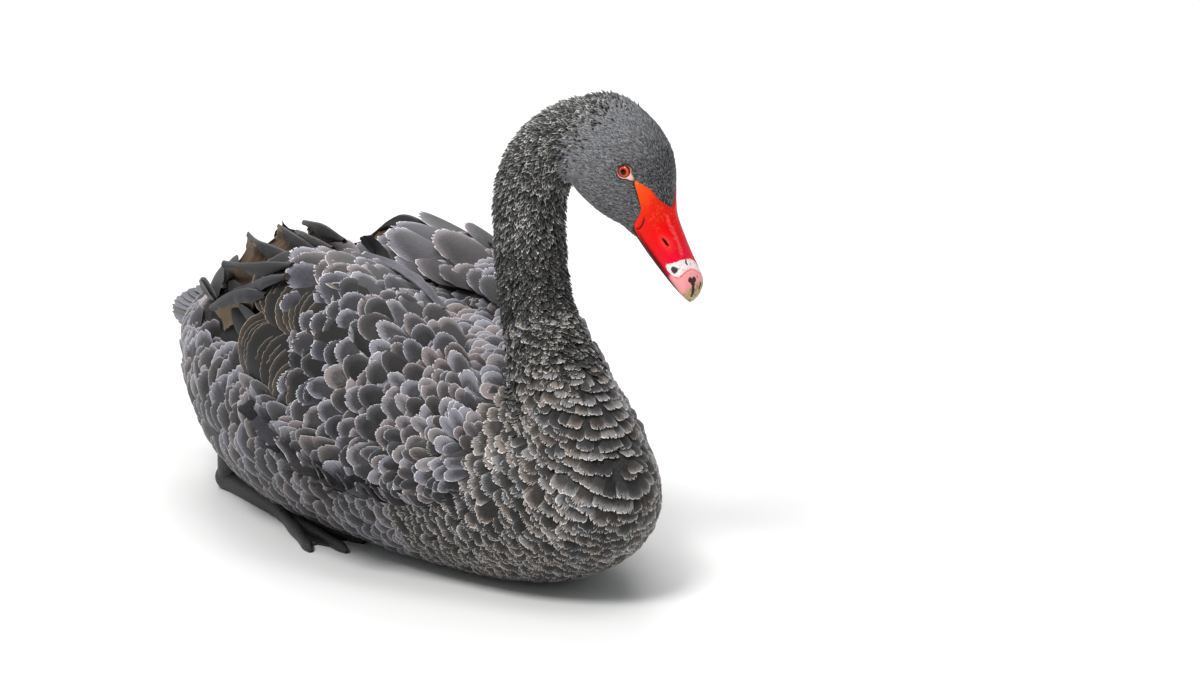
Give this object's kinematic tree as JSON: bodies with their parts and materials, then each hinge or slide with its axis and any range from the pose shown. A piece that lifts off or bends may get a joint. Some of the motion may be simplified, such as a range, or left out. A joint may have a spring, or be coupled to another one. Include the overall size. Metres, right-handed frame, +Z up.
{
  "type": "black swan",
  "caption": "Life-size still model of a resting black swan, neck raised, head bowed to its left, curled wing feathers and webbed feet tucked beside the belly.",
  "frame": {"origin": "middle of the flat that the belly rests on", "axes": "+X the way the body faces, +Y the bird's left side, +Z up"},
  "size_m": [0.5787, 0.2522, 0.37],
  "materials": {
    "head_feathers": "short smooth charcoal feathers",
    "neck_feathers": "small charcoal feathers with a faint wet sheen",
    "body_feathers": "charcoal contour feathers in scalloped rows, paler at their rims",
    "tail_feathers": "near-black satin vanes",
    "wing_feathers": "mid-grey to black vanes with pale worn rims",
    "bill": "smooth red horn with a pale band and nail",
    "eye": "wet orange-red iris with a black pupil",
    "foot_skin": "matt grey-black scaled skin"
  },
  "bodies": {
    "root": {"head": "head_feathers", "neck_upper": "neck_feathers", "neck_middle": "neck_feathers", "neck_lower": "neck_feathers", "breast": "body_feathers", "torso": "body_feathers", "rump": "body_feathers", "tail": "tail_feathers", "wing_left": "wing_feathers", "wing_right": "wing_feathers", "bill_upper": "bill", "bill_lower": "bill", "eye_left": "eye", "eye_right": "eye", "foot_left": "foot_skin", "foot_right": "foot_skin"}
  },
  "joints": []
}
